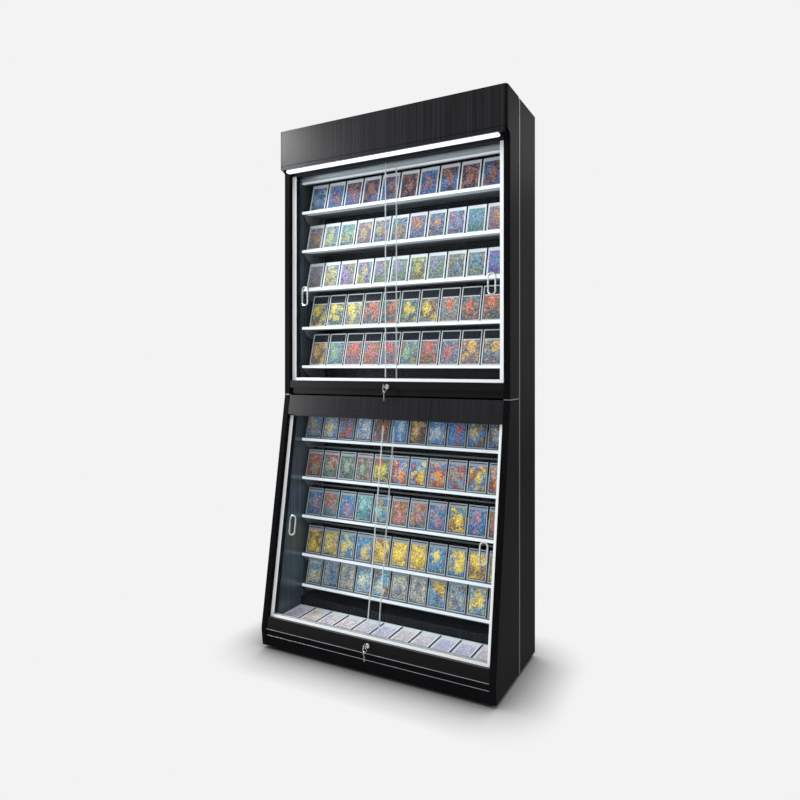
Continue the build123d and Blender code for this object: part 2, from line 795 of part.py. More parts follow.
upper_lock_at = Pos(0, panel_inset, upper_rail_z + upper_lock_up)
lower_lock_at = tilted * Pos(0, panel_inset, lower_rail_top - lower_lock_down)
for level, at in (("upper", upper_lock_at), ("lower", lower_lock_at)):
    parts[f"{level}_lock_body"] = at * lock_body()
    parts[f"{level}_lock_plug"] = group([at * lock_plug(), at * lock_key()])
    hole = (at * Pos(0, bow_centre(), 0)).position
    parts[f"{level}_key_ring"] = Pos(hole.X, hole.Y, hole.Z) * key_ring()

for name, (x, y) in foot_places().items():
    parts[name] = Pos(x, y, 0) * foot()

driver_y = board - header_projection + 12
parts["led_driver"] = block(driver_x, driver_x + driver_size[0], driver_y, driver_y + driver_size[1],
                            soffit_z + deck_board, soffit_z + deck_board + driver_size[2])
parts["cable_gland"] = cable_gland()

boxes = [piece.bounding_box() for piece in parts.values()]
front_y = min(box.min.Y for box in boxes)
back_y = max(box.max.Y for box in boxes)
middle_y = (front_y + back_y) / 2
os.makedirs("parts", exist_ok=True)
for name, piece in parts.items():
    export_step(Pos(0, -middle_y, 0) * piece, f"parts/{name}.step")


def report(label, point):
    print(f"{label}: {point[0]:.3f} {point[1] - middle_y:.3f} {point[2]:.3f}")


print(f"nodes {len(parts)}, depth {back_y - front_y:.2f}, middle_y {middle_y:.3f}, lean {lean:.4f}")
travel = inner - jamb_wall - jamb_clearance - door_overlap / 2 - door_stop_play
print(f"door travel {travel:.2f}")
for level, at in (("upper", upper_lock_at), ("lower", lower_lock_at)):
    spot = at.position
    report(f"{level} lock axis point", (spot.X, spot.Y, spot.Z))
    hole = (at * Pos(0, bow_centre(), 0)).position
    report(f"{level} bow hole", (hole.X, hole.Y, hole.Z))
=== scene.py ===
# %% [markdown]
# # A lit showcase for graded cards
# The real object is a shop showcase, about two metres high. Dark laminated boards make the carcass,
# sliding glass doors close its two sections, and every shelf carries a light strip that shines on rows
# of trading cards in clear holders. The CAD model already has the true shape of the carcass. So this
# lesson adds what CAD leaves plain: finishes, the cards with their printed faces, the finger pulls, the
# seals on the glass, the screws at the back and the beads at the foot, and then the lamps and the camera.

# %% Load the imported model
import bmesh
import bpy
import math
from mathutils import Matrix, Vector


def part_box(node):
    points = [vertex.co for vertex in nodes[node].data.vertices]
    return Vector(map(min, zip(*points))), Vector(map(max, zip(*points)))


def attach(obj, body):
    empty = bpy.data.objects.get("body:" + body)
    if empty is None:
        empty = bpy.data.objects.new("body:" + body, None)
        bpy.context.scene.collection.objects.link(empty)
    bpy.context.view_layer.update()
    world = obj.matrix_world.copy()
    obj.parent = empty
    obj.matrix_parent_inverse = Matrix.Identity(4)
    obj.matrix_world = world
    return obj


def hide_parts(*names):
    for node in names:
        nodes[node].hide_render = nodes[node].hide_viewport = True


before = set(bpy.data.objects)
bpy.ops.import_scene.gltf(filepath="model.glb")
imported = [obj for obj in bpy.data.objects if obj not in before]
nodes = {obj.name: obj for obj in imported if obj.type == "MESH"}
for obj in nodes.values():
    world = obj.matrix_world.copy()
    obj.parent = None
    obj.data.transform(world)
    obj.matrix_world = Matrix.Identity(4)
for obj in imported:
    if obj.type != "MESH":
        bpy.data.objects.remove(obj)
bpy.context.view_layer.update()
mm = 0.001

# %% [markdown]
# Sizes come from the CAD nodes where they can, so that a piece made here sits where the CAD says. The
# front edge of the upper side panels is the plane that the other depths are counted from. The header
# fascia stands 34 mm before it. The joint between the sections is the middle of a gap of 3 mm, and below
# it the front leans out by 147 mm over a height of 912 mm.

# %% Read the places that the new pieces need
fascia_overhang = 34 * mm
joint_gap = 3 * mm
y_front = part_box("header_fascia")[0].y + fascia_overhang
joint_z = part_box("upper_side_panel_right")[0].z - joint_gap / 2
lean = math.atan2(147.0, 912.0)
leaning_front = Matrix.Translation((0, y_front, joint_z)) @ Matrix.Rotation(-lean, 4, "X")
print("front plane", round(y_front, 5), "joint", round(joint_z, 5), "lean", round(math.degrees(lean), 3))


# %% [markdown]
# Every material is a small tree of nodes. One helper adds a node, sets its values and joins it to the
# nodes before it, and the short helpers after it each use it for one kind of node. Colours are written
# as the hex values that a paint chart gives, and one function turns them to the linear values that the
# renderer works in.

# %% Helpers for materials
def linear(hex_colour):
    value = [int(hex_colour[i:i + 2], 16) / 255 for i in (1, 3, 5)]
    return [c / 12.92 if c <= 0.04045 else ((c + 0.055) / 1.055) ** 2.4 for c in value] + [1.0]


def add(material, kind, values=None, links=None, **settings):
    """Add a node of this kind: its settings, plain input values, and the sockets that feed it."""
    made = material.node_tree.nodes.new(kind)
    for name, value in settings.items():
        setattr(made, name, value)
    for name, value in (values or {}).items():
        made.inputs[name].default_value = value
    for name, socket in (links or {}).items():
        material.node_tree.links.new(socket, made.inputs[name])
    return made


def new_material(name, **values):
    """A material with one Principled shader, whose plain values are set on its own sockets."""
    material = bpy.data.materials.new(name)
    material.use_nodes = True
    shader = material.node_tree.nodes["Principled BSDF"]
    for key, value in values.items():
        shader.inputs[key.replace("_", " ")].default_value = value
    return material, shader


def feed(node, **sockets):
    """Join sockets to a node's inputs, which are named with _ for each space."""
    for key, socket in sockets.items():
        node.id_data.links.new(socket, node.inputs[key.replace("_", " ")])


def own(material, output="Object"):
    """The piece's own coordinates, or with "Normal" the way that its face looks."""
    return add(material, "ShaderNodeTexCoord").outputs[output]


def split(material, vector):
    return add(material, "ShaderNodeSeparateXYZ", None, {"Vector": vector}).outputs


def calc(material, operation, *values, kind="Math"):
    """One step of arithmetic on sockets and plain values, in the order that the node takes them."""
    plain = {k: value for k, value in enumerate(values) if isinstance(value, (int, float, tuple))}
    joined = {k: value for k, value in enumerate(values) if k not in plain}
    made = add(material, f"ShaderNode{kind}", plain, joined, operation=operation)
    return made.outputs["Value" if kind == "Math" or operation == "LENGTH" else "Vector"]


def noise(material, vector, scale, detail=2.0, roughness=0.5):
    values = {"Scale": scale, "Detail": detail, "Roughness": roughness}
    return add(material, "ShaderNodeTexNoise", values, {"Vector": vector}).outputs["Fac"]


def remap(material, value, to_low, to_high, from_low=0.0, from_high=1.0):
    """Carry a value from one range to another, and hold it at both ends."""
    limits = {"From Min": from_low, "From Max": from_high, "To Min": to_low, "To Max": to_high}
    return add(material, "ShaderNodeMapRange", limits, {"Value": value}).outputs["Result"]


def blend(material, factor, under, over, kind="MIX"):
    """Mix two colours. Each is a socket or a hex value, and the factor is a socket or a number."""
    plain, joined = {}, {}
    for name, value in (("Factor", factor), ("A", under), ("B", over)):
        if isinstance(value, str):
            plain[name] = linear(value)
        elif isinstance(value, float):
            plain[name] = value
        else:
            joined[name] = value
    made = add(material, "ShaderNodeMix", plain, joined, data_type="RGBA", blend_type=kind)
    return made.outputs["Result"]


def ramp(material, factor, colours, constant=False):
    """A colour ramp with these stops: a list of (position, hex colour)."""
    made = add(material, "ShaderNodeValToRGB", None, {"Fac": factor})
    made.color_ramp.interpolation = "CONSTANT" if constant else "LINEAR"
    elements = made.color_ramp.elements
    while len(elements) < len(colours):
        elements.new(0.5)
    for element, (place, colour) in zip(elements, colours):
        element.position = place
        element.color = linear(colour)
    return made.outputs["Color"]


def bump(material, height, strength, distance):
    made = add(material, "ShaderNodeBump", {"Strength": strength, "Distance": distance}, {"Height": height})
    return made.outputs["Normal"]


print("white is", [round(c, 3) for c in linear("#ffffff")])


# %% [markdown]
# The carcass is chipboard faced with a black melamine film that imitates brushed metal. The brush marks
# run up and down and are well under a millimetre wide, which is too fine to show from two metres. They
# are drawn about 3 mm wide, as noise that is stretched along Z, and the same noise moves the roughness.
# The film of the fascias has longer marks and more gloss.

# %% Brushed film and metal
def brushed(name, dark, light, mark, roughness, metallic, specular, cloud, along=None):
    """Marks of this width, over a slow cloud. Their scale along Y is the same unless it is given."""
    material, shader = new_material(name, Metallic=metallic, Specular_IOR_Level=specular)
    place = own(material)
    stretch = add(material, "ShaderNodeMapping", {"Scale": (1 / mark, along or 1 / mark, 1.2)},
                  {"Vector": place})
    marks = noise(material, stretch.outputs["Vector"], 1.0, 3.0, 0.6)
    slow = calc(material, "MULTIPLY", noise(material, place, cloud), 0.35)
    tone = ramp(material, calc(material, "ADD", marks, slow), [(0.5, dark), (0.88, light)])
    feed(shader, Base_Color=tone, Roughness=remap(material, marks, roughness - 0.06, roughness + 0.08),
         Normal=bump(material, marks, 0.1, 0.4 * mm))
    return material


laminate = brushed("brushed_black_melamine", "#08080a", "#121214", mark=3 * mm, roughness=0.4,
                   metallic=0.0, specular=0.012, cloud=3.0)
fascia_film = brushed("brushed_black_fascia", "#060607", "#26262a", mark=3 * mm, roughness=0.3,
                      metallic=0.0, specular=0.11, cloud=2.0, along=1.0)
liner_metal = brushed("brushed_dark_liner", "#4a5761", "#6f7e8a", mark=8 * mm, roughness=0.24,
                      metallic=0.5, specular=0.4, cloud=2.0)
back_metal = brushed("brushed_dark_back", "#101317", "#22272d", mark=6 * mm, roughness=0.35,
                     metallic=0.2, specular=0.2, cloud=2.0)
print("brushed", laminate.name, fascia_film.name, liner_metal.name, back_metal.name)


# %% [markdown]
# The shelves, trays and valance are steel, powder coated in greys. Powder coat has a faint orange-peel
# texture, with bumps about 1 mm apart. Anodised metal, moulded plastic and the faced boards are made the
# same way with another grain, and slow noise gives all of them a little wear.

# %% Powder-coated, anodised and moulded pieces
def coated(name, colour, roughness, grain, metallic=0.0, depth=0.08 * mm, specular=0.4):
    material, shader = new_material(name, Metallic=metallic, Specular_IOR_Level=specular)
    place = own(material)
    peel = noise(material, place, 1 / grain)
    soil = noise(material, place, 6.0, 4.0)
    tone = blend(material, 1.0, colour, remap(material, soil, 0.93, 1.03), "MULTIPLY")
    feed(shader, Base_Color=tone, Roughness=remap(material, soil, roughness - 0.05, roughness + 0.07),
         Normal=bump(material, peel, 0.3, depth))
    return material


powder, fine = 1.2 * mm, 0.6 * mm
tray_coat = coated("pale_powder_coat", "#cfd6dc", 0.32, powder)
valance_coat = coated("grey_valance_coat", "#a3acb4", 0.32, powder)
shelf_coat = coated("grey_powder_coat", "#6f767d", 0.34, powder)
anodised = coated("anodised_aluminium", "#5f666d", 0.34, fine, metallic=0.6)
dark_trim = coated("dull_aluminium_trim", "#75787b", 0.36, fine, metallic=0.5)
moulded_black = coated("moulded_black_nylon", "#060607", 0.3, 0.8 * mm, depth=0.15 * mm, specular=0.3)
driver_white = coated("moulded_white_abs", "#d8d8d4", 0.45, 0.8 * mm)
board = coated("black_faced_board", "#0c0c0d", 0.55, 2.5 * mm, depth=0.3 * mm, specular=0.1)
print("coated finishes", 8)


# %% [markdown]
# The jambs and tracks are dark extrusions with white outer faces, but the upper track of each section is
# dark all over. So the finish reads the direction of the face, its height and how far it lies behind the front
# plane, all in the piece's own coordinates. A white face looks along -Y. The lower section's front plane
# leans, so a point's depth behind it grows with the sine of the lean. The lock rails are black all over,
# and the ledges that look up are painted brighter, a painted highlight where they catch the light.

# %% Two-tone profiles round the doors
def two_tone(name, white_below, white_depth):
    material, shader = new_material(name, Roughness=0.34, Specular_IOR_Level=0.3)
    place = split(material, own(material))
    front = calc(material, "LESS_THAN", split(material, own(material, "Normal"))["Y"], -0.7)
    low = calc(material, "LESS_THAN", place["Z"], white_below)
    fallen = calc(material, "MAXIMUM", calc(material, "SUBTRACT", joint_z, place["Z"]), 0.0)
    behind = calc(material, "MULTIPLY_ADD", fallen, math.sin(lean), place["Y"])
    outer = calc(material, "LESS_THAN", behind, y_front + white_depth)
    white = calc(material, "MULTIPLY", calc(material, "MULTIPLY", front, low), outer)
    feed(shader, Base_Color=blend(material, white, "#23282d", "#f2f5f8"))
    return material


def ledged(name, ledge_highlight):
    """Black coat whose upward ledges are painted bright, a painted highlight."""
    material, shader = new_material(name, Roughness=0.4, Specular_IOR_Level=0.12)
    # Faces that look up take the ledge colour, a painted highlight.
    up = calc(material, "GREATER_THAN", split(material, own(material, "Normal"))["Z"], 0.7)
    feed(shader, Base_Color=blend(material, up, "#09090a", ledge_highlight))
    return material


any_height, any_depth = 9.0, 0.5  # beyond every point of the case
jamb_finish = two_tone("white_faced_jamb", any_height, 27 * mm)
upper_track_finish = two_tone("white_faced_upper_track", 1.5, any_depth)
lower_track_finish = two_tone("white_faced_lower_track", 0.5, any_depth)
# The ledge colours are painted highlights, brighter on the upper rail than on the lower.
upper_rail_finish = ledged("black_upper_rail", "#5c6064")
lower_rail_finish = ledged("black_lower_rail", "#242628")
print("two-tone profiles", 3, "ledged rails", 2)


# %% [markdown]
# The light strips are rows of small lamps behind an opal acrylic cover, so they look evenly white. The
# strip on a lip faces the customer and is brighter than the strip behind it, under the plate, and the
# lower section's strips burn a little dimmer. An emission near 1 renders as white and still lights the
# cards. The strip is a Principled shader with emission, so that it keeps the gloss of its cover.

# %% Light strips
def opal(name, front, behind, depth, tint):
    """A glowing cover: strength front up to this depth, and strength behind beyond it."""
    material, shader = new_material(name, Roughness=0.3, Base_Color=linear("#9ea3a7"),
                                    Specular_IOR_Level=0.2, Emission_Color=linear(tint))
    place = own(material)
    parts = split(material, place)
    step = remap(material, parts["Y"], front, behind, depth, depth + 0.5 * mm)
    storey = remap(material, parts["Z"], 0.68, 1.0, joint_z - 1 * mm, joint_z)
    lamps = remap(material, noise(material, place, 18.0, 0.0), 0.92, 1.06)
    strength = calc(material, "MULTIPLY", calc(material, "MULTIPLY", step, storey), lamps)
    feed(shader, Emission_Strength=strength)
    return material


lip_light = opal("opal_shelf_light", 0.95, 0.24, y_front + 78.5 * mm, "#eef4fa")
header_light = opal("opal_header_light", 1.0, 0.5, y_front + 30 * mm, "#f7fafd")
print("lights", lip_light.name, header_light.name)


# %% [markdown]
# The keys and locks are nickel-plated brass, and the finger pulls are chromed. Plating is a metal with
# faint wear in its colour and roughness. The doors are 5 mm float glass with a low-reflection coat,
# which lets the inside look dark and clear.

# %% Plated metal and glass
def plated(name, colour, light, roughness):
    material, shader = new_material(name, Metallic=1.0)
    wear = noise(material, own(material), 300.0, 5.0)
    feed(shader, Base_Color=ramp(material, wear, [(0.3, colour), (0.7, light)]),
         Roughness=remap(material, wear, roughness, roughness + 0.12))
    return material


nickel = plated("nickel_plate", "#b9bab8", "#f2f2f0", 0.18)
chrome = plated("polished_chrome", "#c6c9cc", "#f0f1f2", 0.1)

glass, glass_shader = new_material("coated_float_glass", Roughness=0.0, IOR=1.12, Transmission_Weight=1.0,
                                   Base_Color=linear("#f4f8f8"), Specular_IOR_Level=0.06)
shadow_ray = add(glass, "ShaderNodeLightPath").outputs["Is Shadow Ray"]
feed(glass_shader, Alpha=remap(glass, shadow_ray, 1.0, 0.06))
print("glass and plating ready")

# %% [markdown]
# A material is given to a CAD node by filling its slots, which leaves its mesh alone. The list reads
# like a parts list: which finish each piece of the real case has.

# %% Finish the carcass
finishes = {
    laminate: ["upper_side_panel_left", "upper_side_panel_right", "lower_side_panel_left",
               "lower_side_panel_right", "rear_side_panels", "top_panels", "plinth_panel"],
    fascia_film: ["header_fascia", "lower_fascia"],
    liner_metal: ["side_liners"],
    back_metal: ["display_back_panels"],
    dark_trim: ["seam_trims"],
    header_light: ["header_light_diffusers"],
    lip_light: ["shelf_light_strips"],
    valance_coat: ["ceiling_valance"],
    anodised: ["header_light_housing", "shelf_posts"],
    shelf_coat: [f"{level}_shelf_{k}" for level in ("upper", "lower") for k in range(1, 6)],
    tray_coat: ["lower_floor_tray"],
    jamb_finish: ["door_jambs"],
    upper_track_finish: ["upper_door_tracks"],
    lower_track_finish: ["lower_door_tracks"],
    upper_rail_finish: ["upper_lock_rail"],
    lower_rail_finish: ["lower_lock_rail"],
    board: ["base_panel", "middle_deck", "rear_cover_panel", "ceiling_panel"],
    glass: [f"{level}_{side}_door_glass" for level in ("upper", "lower") for side in ("left", "right")],
    nickel: ["upper_lock_body", "lower_lock_body", "upper_lock_plug", "lower_lock_plug",
             "upper_key_ring", "lower_key_ring"],
    moulded_black: ["foot_front_left", "foot_front_right", "foot_rear_left", "foot_rear_right",
                    "cable_gland"],
    driver_white: ["led_driver"],
}
for finish, names in finishes.items():
    for name in names:
        data = nodes[name].data
        data.materials.clear()
        data.materials.append(finish)
print("finished nodes", sum(len(names) for names in finishes.values()))


# %% [markdown]
# New pieces are modelled with the same tools as by hand. Small helpers do what a hand does between the
# tools: clear the selection, pick faces by where they lie, join pieces, and set a finished piece down
# with its place kept in its mesh.

# %% Helpers for modelling
def deselect():
    if bpy.context.object and bpy.context.object.mode != "OBJECT":
        bpy.ops.object.mode_set(mode="OBJECT")
    bpy.ops.object.select_all(action="DESELECT")


def start_box(name, low, high):
    """A primitive cube, sized and placed between two corners."""
    deselect()
    middle = [(a + b) / 2 for a, b in zip(low, high)]
    bpy.ops.mesh.primitive_cube_add(size=1, location=middle)
    piece = bpy.context.object
    piece.name = name
    piece.scale = [b - a for a, b in zip(low, high)]
    bpy.ops.object.transform_apply(location=True, rotation=True, scale=True)
    return piece


def pick_faces(piece, wanted):
    """In edit mode, select only the faces for which wanted(face) is true."""
    bpy.ops.object.mode_set(mode="EDIT")
    bpy.ops.mesh.select_mode(type="FACE")
    bpy.ops.mesh.select_all(action="DESELECT")
    mesh = bmesh.from_edit_mesh(piece.data)
    for face in mesh.faces:
        face.select_set(bool(wanted(face)))
    bmesh.update_edit_mesh(piece.data)


def bevel(piece, width, segments=2, angle=40):
    """Round the sharp edges with a Bevel modifier and apply it."""
    deselect()
    piece.select_set(True)
    bpy.context.view_layer.objects.active = piece
    made = piece.modifiers.new("edges", "BEVEL")
    made.width = width
    made.segments = segments
    made.limit_method = "ANGLE"
    made.angle_limit = math.radians(angle)
    bpy.ops.object.modifier_apply(modifier=made.name)
    bpy.ops.object.shade_smooth_by_angle(angle=math.radians(35))


def copy_at(piece, matrix, name):
    """A copy with its own mesh, moved by a matrix that ends up in the mesh."""
    made = bpy.data.objects.new(name, piece.data.copy())
    made.data.transform(matrix)
    bpy.context.scene.collection.objects.link(made)
    return made


def join(pieces, name):
    deselect()
    for piece in pieces:
        piece.select_set(True)
    bpy.context.view_layer.objects.active = pieces[0]
    bpy.ops.object.join()
    pieces[0].name = name
    return pieces[0]


def finish_piece(piece, material, body, stands_for=()):
    piece.data.materials.clear()
    piece.data.materials.append(material)
    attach(piece, body)
    if stands_for:
        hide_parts(*stands_for)


print("helpers ready")


# %% [markdown]
# A graded card sits in a clear two-part holder of moulded acrylic, about 7 mm thick, with a raised rim
# round a window. One holder is modelled from a cube: the front face is inset and pushed in, and the
# edges are rounded. The printed face is a plane just behind the window, which leaves a bare edge all
# round. Both are made once for each kind of holder and then copied along the shelves.

# %% Model one holder of each size
def model_holder(name, wide, high, rim, thick=7 * mm, recess=1.2 * mm):
    holder = start_box(name, (-wide / 2, 0, 0), (wide / 2, thick, high))
    pick_faces(holder, lambda face: face.normal.y < -0.9)
    bpy.ops.mesh.inset(thickness=rim, depth=0)
    bpy.ops.mesh.inset(thickness=0.5 * mm, depth=-recess)
    bpy.ops.object.mode_set(mode="OBJECT")
    bevel(holder, 0.7 * mm, segments=1)
    return holder


def model_print(name, wide, high, edge, recess=1.0 * mm):
    """The printed face behind the window: a quad with a UV map that runs from 0 to 1."""
    deselect()
    bpy.ops.mesh.primitive_plane_add(size=1, location=(0, 0, 0))
    face = bpy.context.object
    face.name = name
    face.data.uv_layers[0].name = "print"
    turn = Matrix.Rotation(math.radians(90), 4, "X")
    size = Matrix.Diagonal((wide - 2 * edge, 1, high - 2 * edge, 1))
    face.data.transform(Matrix.Translation((0, recess, high / 2)) @ size @ turn)
    return face


# Each kind: the holder's width, height and rim in mm, the number in a row, and their pitch in mm.
card_kinds = {
    "small": (79, 117, 4, 10, 85),
    "narrow": (75, 110, 4, 11, 80),
    "tall": (80, 135, 3, 10, 85),
    "lower": (75, 112, 3, 11, 81),
    "floor": (75, 135, 3.4, 11, 81),
}
bare_edge = 0.6 * mm
holders, prints = {}, {}
for kind, (wide, high, rim, _, _) in card_kinds.items():
    holders[kind] = model_holder(f"holder_{kind}", wide * mm, high * mm, rim * mm)
for kind, (wide, high, rim, _, _) in card_kinds.items():
    prints[kind] = model_print(f"print_{kind}", wide * mm, high * mm, rim * mm + bare_edge)
print("holder faces", len(holders["small"].data.polygons))

# %% [markdown]
# Every row stands on a shelf: its kind of holder and the height of its plate. The plates lie 161.5 mm
# apart. The holders stand on the plate and lean back against a rest, and a last row lies flat on the
# floor of the lower section.
#
# The cards of one row differ in picture and colour, yet one material can print them all. Each card's UV
# map is moved by a whole number: its place in the row across, and its row up. In the material, the whole
# part of the coordinate picks colours, and the fraction draws the design within the card.

# %% Set the rows of cards out on the shelves
plate_step = 161.5 * mm
upper_top, lower_top, lowest = 1758 * mm, joint_z - 186 * mm, 194 * mm
upper_plates = [upper_top - plate_step * k for k in range(5)]
lower_plates = [lower_top - plate_step * k for k in range(4)] + [lowest]
upper_rows = list(zip(["small", "narrow", "narrow", "tall", "tall"], upper_plates))
lower_rows = [("lower", z) for z in lower_plates]
card_lean = math.radians(15)
card_depth = y_front + 87.7 * mm
card_lift = 7 * mm * math.sin(card_lean)
uv_margin = 0.004
print("plates", [round(z, 4) for z in upper_plates + lower_plates])


def lay_row(kind, row, y, z, tilt, label):
    """Copy one kind of holder and its print along a row, and number the prints in their UV maps."""
    _, _, _, count, pitch = card_kinds[kind]
    shells, faces = [], []
    for column in range(count):
        x = (column - (count - 1) / 2) * pitch * mm
        spot = Matrix.Translation((x, y, z)) @ Matrix.Rotation(-tilt, 4, "X")
        shells.append(copy_at(holders[kind], spot, f"{label}_holder"))
        face = copy_at(prints[kind], spot, f"{label}_print")
        for corner in face.data.uv_layers["print"].data:
            corner.uv = [number + uv_margin + (1 - 2 * uv_margin) * part
                         for number, part in zip((column, row), corner.uv)]
        faces.append(face)
    return shells, faces


def lay_shelves(rows, first_row, label):
    shells, faces = [], []
    for number, (kind, plate) in enumerate(rows):
        row = lay_row(kind, first_row + number, card_depth, plate + card_lift, card_lean, label)
        shells += row[0]
        faces += row[1]
    return shells, faces


upper_shells, upper_faces = lay_shelves(upper_rows, 0, "upper")
lower_shells, lower_faces = lay_shelves(lower_rows, 5, "lower")
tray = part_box("lower_floor_tray")
from_edge, from_foot = 28 * mm, 10 * mm
floor_shells, floor_faces = lay_row("floor", 10, tray[0].y + from_edge, tray[0].z + from_foot,
                                    math.pi / 2, "floor")
lower_faces += floor_faces
print("cards", len(upper_faces), len(lower_faces))

# %% [markdown]
# Every row of cards has its own few colours: three for the ground, and three for the blot and the clouds
# over it. Chance picks one of each three for every card. Along a row the draw drifts a little towards the
# last of the three, as a shop sorts its cards.

# %% Colours of the rows
grounds = [
    ["#41699e", "#4d4558", "#4f70a2"], ["#62868c", "#837486", "#5a7292"], ["#7a7868", "#6e8672", "#6d6596"],
    ["#7d8584", "#566c72", "#7a6862"], ["#66788a", "#7d6e7a", "#7c6e5e"], ["#7d93b4", "#4a82bc", "#705c54"],
    ["#56665e", "#94524c", "#4c7ab0"], ["#386a9e", "#4c7c88", "#8a684c"], ["#4c7ea4", "#b8a060", "#866a56"],
    ["#6f98b2", "#aaa898", "#c8a850"], ["#bcb4d0", "#d0b4bc", "#b0bedc"],
]
seconds = [
    ["#94b4d4", "#a8705c", "#8f9cc0"], ["#b4aa6c", "#b88858", "#7a94b8"], ["#8c7cac", "#b4ac66", "#5a80ac"],
    ["#dcc648", "#cc6c4c", "#d4ae60"], ["#8cb080", "#c4625a", "#d8ac48"], ["#d4b870", "#c8d2d8", "#b8584a"],
    ["#8c9a8e", "#e0a048", "#dcc83c"], ["#8cb8ac", "#b07884", "#eccc3c"], ["#e8ca40", "#e8c238", "#f0d44c"],
    ["#dcd6b4", "#566488", "#f4d038"], ["#98a0cc", "#dcd0cc", "#b490a0"],
]
row_count = len(grounds)
ramp_limit = 32
print("rows of colours", row_count)


# %% [markdown]
# The print itself is ink on coated card behind a clear window, so it is smooth. Its designs are plain: a
# ground of two colours that run into each other, clouds and a ragged blot of a third, dark grain and
# fine pale flecks, all under a painted light that makes each card a little brighter towards its top.
# Frames and bare labels go over it, one layer after another. The rows are counted from the top: 0 to 2 have
# pale frames, 3 and 4 a dark label window above the card, 5 to 9 dark edges and a grey label, and row 10
# lies flat and is washed paler all over, a painted light.
#
# The holder over the print is clear plastic, pale in front, with its cut sides to left and right painted dark
# as a painted shade.

# %% Print the card faces
def palette(material, rows, row, draw):
    """A colour out of the row's own. One ramp holds all rows side by side, as far as its stops go."""
    place = calc(material, "ADD", row, calc(material, "MULTIPLY", draw, 0.98))
    colours = [((k + part / 3) / row_count, colour) for k, three in enumerate(rows)
               for part, colour in enumerate(three)]
    return ramp(material, calc(material, "DIVIDE", place, row_count), colours[:ramp_limit], constant=True)


def print_material():
    material, shader = new_material("printed_card", Roughness=0.35, Specular_IOR_Level=0.1)
    parts = split(material, add(material, "ShaderNodeUVMap", uv_map="print").outputs["UV"])
    column, row = (calc(material, "FLOOR", parts[axis]) for axis in "XY")
    u, v = (calc(material, "FRACT", parts[axis]) for axis in "XY")
    draws = []
    for seed in (3.0, 7.0, 5.0):
        key = add(material, "ShaderNodeCombineXYZ", {"Z": seed}, {"X": column, "Y": row})
        draws.append(add(material, "ShaderNodeTexWhiteNoise", None, {"Vector": key.outputs[0]},
                         noise_dimensions="3D").outputs)
    along = calc(material, "MULTIPLY", column, 0.029)
    drift = [calc(material, "MULTIPLY_ADD", draw["Value"], 0.7, along) for draw in draws[:2]]
    ground = palette(material, grounds, row, drift[0])
    second = palette(material, seconds, row, drift[1])
    third = palette(material, grounds, row, draws[2]["Value"])

    def vector(operation, *values):
        return calc(material, operation, *values, kind="VectorMath")

    tall_v = calc(material, "MULTIPLY", v, 1.45)
    field = add(material, "ShaderNodeCombineXYZ", {"Z": 0.0}, {"X": u, "Y": tall_v}).outputs[0]
    moved = vector("ADD", field, vector("MULTIPLY", draws[0]["Color"], (9.0, 9.0, 9.0)))
    clouds = noise(material, moved, 2.6, 5.0, 0.6)
    parted = remap(material, noise(material, moved, 1.4, 3.0), 0.0, 1.0, 0.44, 0.56)
    base = blend(material, parted, ground, third)
    flecked = blend(material, remap(material, clouds, 0.0, 0.62, 0.5, 0.6), base, second)

    heart = vector("MULTIPLY_ADD", draws[1]["Color"], (0.36, 0.5, 0.0), (0.32, 0.4, 0.0))
    flat = vector("MULTIPLY", vector("SUBTRACT", field, heart), (1.25, 0.85, 0.0))
    ragged = calc(material, "MULTIPLY_ADD", clouds, 0.8, vector("LENGTH", flat))
    with_blot = blend(material, remap(material, ragged, 0.7, 0.0, 0.56, 0.7), flecked, second)

    grain = noise(material, moved, 11.0, 4.0, 0.8)
    inked = blend(material, 1.0, with_blot, remap(material, grain, 0.14, 2.2, 0.34, 0.66), "MULTIPLY")
    vivid = blend(material, remap(material, grain, 0.0, 0.6, 0.58, 0.7), inked, "#f0f2f2")
    # The value rises from 0.72 at the foot of each card to 1.25 at its top: a painted light from above.
    colour = add(material, "ShaderNodeHueSaturation", {"Saturation": 0.95},
                 {"Color": vivid, "Value": remap(material, v, 0.72, 1.25)}).outputs["Color"]

    def over(socket, value):
        return calc(material, "GREATER_THAN", socket, value)

    def under(socket, value):
        return calc(material, "LESS_THAN", socket, value)

    def both(one, other):
        return calc(material, "MULTIPLY", one, other)

    side = calc(material, "ABSOLUTE", calc(material, "SUBTRACT", u, 0.5))
    high_row = under(row, 2.5)
    tall_row = both(over(row, 2.5), under(row, 4.5))
    low_row = both(over(row, 4.5), under(row, 9.5))
    flat_row = over(row, 9.5)
    layers = [
        # Row 10 is first washed paler all over with a pale grey, a painted light. The other layers are frames
        # and labels.
        (both(flat_row, 0.3), "#d9dee6"),
        (both(flat_row, over(side, 0.44)), "#f2f5f8"),
        (both(flat_row, over(v, 0.8)), "#e6ebf0"),
        (both(low_row, under(v, 0.035)), "#39424a"),
        (both(low_row, over(side, 0.45)), "#39424a"),
        (both(high_row, over(side, 0.475)), "#e4e9ee"),
        (both(high_row, over(v, 0.91)), "#dde3ea"),
        (both(low_row, over(v, 0.87)), "#a3adb8"),
        (both(low_row, over(v, 0.955)), "#39424a"),
        (both(tall_row, over(v, 0.74)), "#262b31"),
        (both(both(tall_row, over(v, 0.72)), under(v, 0.75)), "#ccd4dc"),
        (both(tall_row, over(side, 0.45)), "#434b53"),
    ]
    for mask, ink in layers:
        colour = blend(material, mask, colour, ink)
    feed(shader, Base_Color=colour)
    return material


